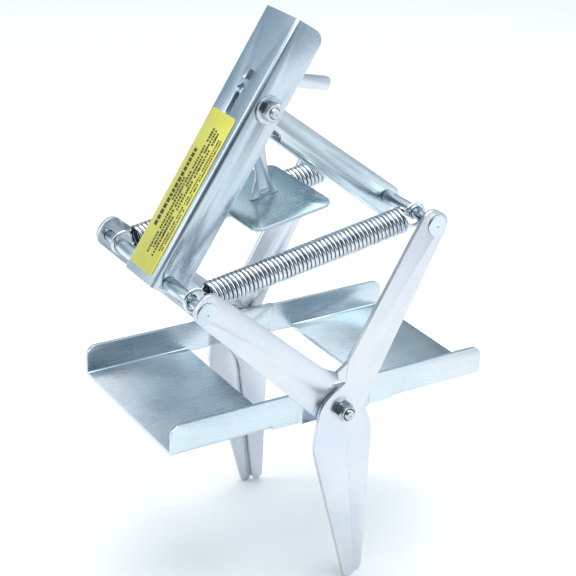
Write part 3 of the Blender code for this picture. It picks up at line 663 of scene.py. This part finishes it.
# %% Wind and hang the two springs
WIRE_RADIUS = 1.5 * MM
COIL_RADIUS = 8.5 * MM
COIL_REACH = 82 * MM
COIL_TURNS = 48.5
STEPS_PER_TURN = 26
HOOK_GAP = math.radians(28)
SPAN = (RIGHT_ROD - LEFT_ROD).length
HOOK_SLACK = 0.2 * MM
HOOK_CENTRE = SPAN / 2 - (COIL_RADIUS - WIRE_RADIUS - ROD_RADIUS - HOOK_SLACK)
HOOK_STEPS = 24
GROOVE_FACING = 0.30


def spring_path():
    """(along, across, up) points about the spring's middle, from left hook to right hook."""
    hook = []
    for step in range(HOOK_STEPS + 1):
        turn = math.pi - HOOK_GAP - (2 * math.pi - 2 * HOOK_GAP) * step / HOOK_STEPS
        hook.append(
            (HOOK_CENTRE + COIL_RADIUS * math.cos(turn), 0.0, COIL_RADIUS * math.sin(turn))
        )
    coil = []
    steps = round(COIL_TURNS * STEPS_PER_TURN)
    for step in range(steps + 1):
        turn = -math.pi / 2 + 2 * math.pi * COIL_TURNS * step / steps
        along = COIL_REACH * (2 * step / steps - 1)
        coil.append((along, COIL_RADIUS * math.cos(turn), COIL_RADIUS * math.sin(turn)))
    bridge_right = [(COIL_REACH + 1.2 * MM, -0.8 * MM, 7.6 * MM)]
    left_hook = [(-along, across, -up) for along, across, up in reversed(hook)]
    bridge_left = [(-along, across, -up) for along, across, up in bridge_right]
    return left_hook + bridge_left + coil + bridge_right + hook


def paint_groove_shade(mesh, centre):
    """Paints shade on the flanks and inside of the coil, but not the hooks, with the dark finish."""
    mesh.materials.append(groove_shade_finish)
    for face in mesh.polygons:
        offset = face.center - centre
        along = offset.dot(ALONG_SET)
        if abs(along) > COIL_REACH:
            continue
        outward = (offset - ALONG_SET * along).normalized()
        # Faces turned away from the outside of the coil take the painted shade.
        if face.normal.dot(outward) < GROOVE_FACING:
            face.material_index = 1


def hung_spring(name, side):
    centre = (LEFT_ROD + RIGHT_ROD) / 2 + Vector((0, side, 0))
    points = spring_path()
    curve = bpy.data.curves.new(name, "CURVE")
    curve.dimensions = "3D"
    line = curve.splines.new("POLY")
    line.points.add(len(points) - 1)
    for point, (along, across, up) in zip(line.points, points):
        place = centre + ALONG_SET * along + Vector((0, across, 0)) + UP_SET * up
        point.co = (*place, 1)
    shape = new_piece(name, curve)
    modifier = shape.modifiers.new("sweep", "NODES")
    modifier.node_group = sweep_wire
    set_inputs(modifier, {"Wire Radius": WIRE_RADIUS, "Sides": 12, "Finish": spring_wire})
    mesh = to_mesh(shape)
    mesh.name = name
    paint_groove_shade(mesh, centre)
    made = new_piece(name, mesh)
    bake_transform(made)
    return made


for end in ("front", "rear"):
    side = middle(f"{end}_spring_left").y
    spring = hung_spring(f"{end}_spring_wound", side)
    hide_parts(f"{end}_spring_left", f"{end}_spring_right")
    print(spring.name, len(spring.data.polygons), "faces,", COIL_TURNS, "turns")

# %% [markdown]
# ## Label
# The label is a thin sheet of vinyl on the lever's web. Real ones carry a name and a few
# lines of small print. Here that is only suggested, by blocks of ink with no letters in
# them: a Geometry Nodes tree gives each mark an uneven width, adds the widths up along each
# line so that no two marks touch, drops a few for the spaces, and centres the line. The
# marks stand 0.05 mm proud, as thick ink does.

# %% Lay out the print bars
# The toggle bolt lies this far below a line from the left rod along the lever's web.
TOGGLE_DROP = 3.0 * MM
LEVER_THROW = 139.7 * MM
INK_HEIGHT = 0.05 * MM
INK_SINK = 0.03 * MM
label_low, label_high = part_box("lever_label")
label_vertices = [vertex.co.copy() for vertex in frame["nodes"]["lever_label"].data.vertices]
web_turn = math.asin(TOGGLE_DROP / LEVER_THROW)
LEVER_ALONG = Matrix.Rotation(-web_turn, 3, "Y") @ (TOGGLE - LEFT_ROD).normalized()
LEVER_FACE = Vector((-LEVER_ALONG.z, 0, LEVER_ALONG.x))
label_along = [(vertex - LEFT_ROD).dot(LEVER_ALONG) for vertex in label_vertices]
label_rise = [(vertex - LEFT_ROD).dot(LEVER_FACE) for vertex in label_vertices]
LABEL_LENGTH = max(label_along) - min(label_along)
LABEL_WIDTH = label_high.y - label_low.y
LABEL_CENTRE = (
    LEFT_ROD + LEVER_ALONG * (min(label_along) + LABEL_LENGTH / 2)
    + LEVER_FACE * max(label_rise) + Vector((0, (label_low.y + label_high.y) / 2, 0))
)
print("label", round(LABEL_LENGTH / MM, 1), "by", round(LABEL_WIDTH / MM, 1), "mm")


def print_tree():
    tree = bpy.data.node_groups.new("lines_of_print", "GeometryNodeTree")
    tree.interface.new_socket("Geometry", in_out="INPUT", socket_type="NodeSocketGeometry")
    tree.interface.new_socket("Geometry", in_out="OUTPUT", socket_type="NodeSocketGeometry")
    named_input(tree, "Marks", "NodeSocketInt", 40)
    named_input(tree, "Lines", "NodeSocketInt", 3)
    named_input(tree, "Line Pitch", "NodeSocketFloat", 3.6 * MM)
    named_input(tree, "Mark Width", "NodeSocketFloat", 1.8 * MM)
    named_input(tree, "Mark Height", "NodeSocketFloat", 2.2 * MM)
    named_input(tree, "Gap", "NodeSocketFloat", 0.5 * MM)
    named_input(tree, "Spaces", "NodeSocketFloat", 0.14)
    named_input(tree, "Seed", "NodeSocketInt", 4)
    tree.interface.new_socket("Finish", in_out="INPUT", socket_type="NodeSocketMaterial")
    start = add_node(tree, "NodeGroupInput").outputs
    count = add_node(
        tree, "ShaderNodeMath", {0: start["Marks"], 1: start["Lines"]}, operation="MULTIPLY"
    ).outputs[0]
    row = add_node(tree, "GeometryNodeMeshLine", {"Count": count})
    points = add_node(tree, "GeometryNodeMeshToPoints", {"Mesh": row.outputs["Mesh"]})
    order = add_node(tree, "GeometryNodeInputIndex").outputs["Index"]
    share = add_node(
        tree, "ShaderNodeMath", {0: order, 1: start["Marks"]}, operation="DIVIDE"
    ).outputs[0]
    line = add_node(tree, "ShaderNodeMath", {0: share}, operation="FLOOR").outputs[0]
    width = add_node(
        tree, "FunctionNodeRandomValue",
        {2: 0.55, 3: 1.0, "Seed": start["Seed"]}, data_type="FLOAT",
    ).outputs[1]
    mark_width = add_node(
        tree, "ShaderNodeMath", {0: width, 1: start["Mark Width"]}, operation="MULTIPLY"
    ).outputs[0]
    step = add_node(
        tree, "ShaderNodeMath", {0: mark_width, 1: start["Gap"]}, operation="ADD"
    ).outputs[0]
    summed = add_node(
        tree, "GeometryNodeAccumulateField", {0: step, "Group ID": line}, data_type="FLOAT"
    ).outputs
    half_step = add_node(
        tree, "ShaderNodeMath", {0: step, 1: -0.5}, operation="MULTIPLY"
    ).outputs[0]
    half_line = add_node(
        tree, "ShaderNodeMath", {0: summed["Total"], 1: -0.5, 2: half_step},
        operation="MULTIPLY_ADD",
    ).outputs[0]
    along = add_node(
        tree, "ShaderNodeMath", {0: summed["Leading"], 1: half_line}, operation="ADD"
    ).outputs[0]
    across = add_node(
        tree, "ShaderNodeMath", {0: line, 1: start["Line Pitch"]}, operation="MULTIPLY"
    ).outputs[0]
    down = add_node(tree, "ShaderNodeMath", {0: across, 1: -1.0}, operation="MULTIPLY").outputs[0]
    place = add_node(tree, "ShaderNodeCombineXYZ", {"X": along, "Y": down}).outputs["Vector"]
    laid = add_node(
        tree, "GeometryNodeSetPosition",
        {"Geometry": points.outputs["Points"], "Position": place},
    )
    space = add_node(
        tree, "FunctionNodeRandomValue",
        {"Probability": start["Spaces"], "Seed": start["Seed"]}, data_type="BOOLEAN",
    ).outputs[3]
    kept = add_node(
        tree, "GeometryNodeDeleteGeometry",
        {"Geometry": laid.outputs["Geometry"], "Selection": space}, domain="POINT",
    )
    size = add_node(
        tree, "ShaderNodeCombineXYZ", {"X": 1.0, "Y": start["Mark Height"], "Z": INK_HEIGHT}
    ).outputs["Vector"]
    bar = add_node(tree, "GeometryNodeMeshCube", {"Size": size})
    scale = add_node(
        tree, "ShaderNodeCombineXYZ", {"X": mark_width, "Y": 1.0, "Z": 1.0}
    ).outputs["Vector"]
    placed = add_node(
        tree, "GeometryNodeInstanceOnPoints",
        {
            "Points": kept.outputs["Geometry"], "Instance": bar.outputs["Mesh"], "Scale": scale,
        },
    )
    real = add_node(
        tree, "GeometryNodeRealizeInstances", {"Geometry": placed.outputs["Instances"]}
    )
    painted = add_node(
        tree, "GeometryNodeSetMaterial",
        {"Geometry": real.outputs["Geometry"], "Material": start["Finish"]},
    )
    end = add_node(tree, "NodeGroupOutput")
    tree.links.new(painted.outputs["Geometry"], end.inputs["Geometry"])
    return tree


lines_of_print = print_tree()
LABEL_PLACE = Matrix((
    (LEVER_ALONG.x, 0, LEVER_FACE.x, LABEL_CENTRE.x),
    (LEVER_ALONG.y, 1, LEVER_FACE.y, LABEL_CENTRE.y),
    (LEVER_ALONG.z, 0, LEVER_FACE.z, LABEL_CENTRE.z),
    (0, 0, 0, 1),
))
print("tree inputs:", [item.name for item in lines_of_print.interface.items_tree])

# %% Print the blocks of lines
def print_block(name, across, settings):
    shape = new_piece(name, bpy.data.meshes.new(name))
    modifier = shape.modifiers.new("print", "NODES")
    modifier.node_group = lines_of_print
    set_inputs(modifier, {**settings, "Finish": label_ink})
    mesh = to_mesh(shape)
    mesh.transform(LABEL_PLACE @ Matrix.Translation((0, across, INK_SINK)))
    made = new_piece(name, mesh)
    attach(made, body_of_node["lever_label"])
    print(name, len(mesh.polygons) // 6, "marks")
    return made


print_block("label_title_print", 9.4 * MM, {
    "Marks": 15, "Lines": 1, "Mark Width": 4.0 * MM, "Mark Height": 3.8 * MM, "Gap": 0.9 * MM,
    "Spaces": 0.1, "Seed": 3,
})
print_block("label_heading_print", 5.2 * MM, {
    "Marks": 8, "Lines": 1, "Mark Width": 2.2 * MM, "Mark Height": 2.3 * MM, "Gap": 0.5 * MM,
    "Spaces": 0.0, "Seed": 5,
})
print_block("label_body_print", 1.6 * MM, {
    "Marks": 46, "Lines": 3, "Line Pitch": 3.7 * MM, "Mark Width": 2.1 * MM,
    "Mark Height": 2.3 * MM, "Gap": 0.55 * MM, "Spaces": 0.15, "Seed": 9,
})
print_block("label_foot_print", -10.4 * MM, {
    "Marks": 52, "Lines": 2, "Line Pitch": 2.9 * MM, "Mark Width": 1.6 * MM,
    "Mark Height": 1.7 * MM, "Gap": 0.5 * MM, "Spaces": 0.15, "Seed": 12,
})

# %% Finish the label sheet
label_copy = finished_copy("lever_label", label_vinyl, label_vinyl, 0.08, 1)
print(label_copy.name, "has rounded corners of 3.5 mm")

# %% [markdown]
# ## Floor, light and camera
# Bare metal shows what is round it, so the light is as much a part of the finish as the
# material is. A pale floor and a pale overhead softbox keep the plating silver. The walls
# are a middle blue-grey, which the lever and pans reflect, and one side of the room is left
# dark, so that folds, nuts and wire carry the dark lines that make metal look like metal.

# %% Lay the floor
floor_height = cad_low.z - 0.5 * MM
floor_mesh = bpy.data.meshes.new("floor")
FLOOR_HALF = 6.0
floor_mesh.from_pydata(
    [
        (-FLOOR_HALF, -FLOOR_HALF, floor_height), (FLOOR_HALF, -FLOOR_HALF, floor_height),
        (FLOOR_HALF, FLOOR_HALF, floor_height), (-FLOOR_HALF, FLOOR_HALF, floor_height),
    ],
    [], [(0, 1, 2, 3)],
)
floor = new_piece("floor", floor_mesh)
floor_paper, floor_tree = new_material("pale_backdrop_paper")
floor_shader = add_node(
    floor_tree, "ShaderNodeBsdfPrincipled",
    {"Base Color": linear("#F7F8F8"), "Roughness": 0.85, "Specular IOR Level": 0.2},
)
close_material(floor_tree, floor_shader)
floor_mesh.materials.append(floor_paper)
print("floor at", round(floor_height / MM, 1), "mm")

# %% Set the sky and lamps
world = bpy.data.worlds.new("studio")
bpy.context.scene.world = world
world.use_nodes = True
sky = world.node_tree
sky.nodes.clear()
direction = add_node(sky, "ShaderNodeTexCoord").outputs["Generated"]
height = add_node(sky, "ShaderNodeSeparateXYZ", {"Vector": direction}).outputs["Z"]
share = add_node(
    sky, "ShaderNodeMapRange", {"Value": height, "From Min": -1.0, "From Max": 1.0}
).outputs["Result"]
bands = add_node(sky, "ShaderNodeValToRGB", {"Fac": share})
bands.color_ramp.elements[0].position = 0.40
bands.color_ramp.elements[0].color = linear("#E8ECEE")
bands.color_ramp.elements[1].position = 1.0
bands.color_ramp.elements[1].color = linear("#FFFFFF")
for position, colour in ((0.50, "#B4C2CB"), (0.60, "#93A9B8"), (0.70, "#A3B9C7"), (0.85, "#E6EEF2")):
    band = bands.color_ramp.elements.new(position)
    band.color = linear(colour)
unlit_side = add_node(
    sky, "ShaderNodeVectorMath", {0: direction, 1: (-0.62, -0.74, 0.26)}, operation="DOT_PRODUCT"
).outputs["Value"]
unlit = add_node(
    sky, "ShaderNodeMapRange",
    {"Value": unlit_side, "From Min": 0.62, "From Max": 0.93, "To Min": 0.0, "To Max": 0.93},
    interpolation_type="SMOOTHSTEP",
).outputs["Result"]
tone = add_node(
    sky, "ShaderNodeMix",
    {0: unlit, 6: bands.outputs["Color"], 7: linear("#38464E")}, data_type="RGBA",
).outputs[2]
back = add_node(sky, "ShaderNodeBackground", {"Color": tone, "Strength": 1.0})
sky_output = add_node(sky, "ShaderNodeOutputWorld")
sky.links.new(back.outputs[0], sky_output.inputs["Surface"])


def soft_lamp(name, place, aim, size, watts, colour="#FFFFFF"):
    data = bpy.data.lights.new(name, "AREA")
    data.shape = "RECTANGLE"
    data.size, data.size_y = size
    data.energy = watts
    data.color = linear(colour)[:3]
    lamp = bpy.data.objects.new(name, data)
    bpy.context.scene.collection.objects.link(lamp)
    lamp.location = place
    lamp.rotation_euler = (Vector(aim) - Vector(place)).to_track_quat("-Z", "Y").to_euler()
    return lamp


aim = (0, 0, 0.05)
soft_lamp("overhead_softbox", (0.1, 0.0, 1.9), aim, (2.2, 2.2), 33)
soft_lamp("right_softbox", (1.7, -0.9, 1.0), aim, (1.2, 1.2), 8)
soft_lamp("left_rear_strip", (-1.5, 1.0, 0.9), aim, (0.5, 1.4), 6)
print("lamps set")

# %% Place the camera
CAMERA_PLACE = (-0.5826, -0.9098, 0.5746)
LOOK_AT = Vector((0.0073, 0.0115, 0.0675))
LENS_MM = 98.2
SENSOR_MM = 36.0
CAMERA_ROLL = math.radians(2.46)
camera_data = bpy.data.cameras.new("camera")
camera = bpy.data.objects.new("camera", camera_data)
bpy.context.scene.collection.objects.link(camera)
bpy.context.scene.camera = camera
camera_data.sensor_width = SENSOR_MM
camera_data.lens = LENS_MM
camera_data.clip_start = 0.05
camera_data.clip_end = 50
camera.location = CAMERA_PLACE
facing = (LOOK_AT - camera.location).to_track_quat("-Z", "Y")
camera.rotation_mode = "QUATERNION"
camera.rotation_quaternion = facing @ Matrix.Rotation(CAMERA_ROLL, 4, "Z").to_quaternion()
bpy.context.scene.view_settings.view_transform = "Standard"
print("camera", round((LOOK_AT - camera.location).length, 3), "m from what it looks at")
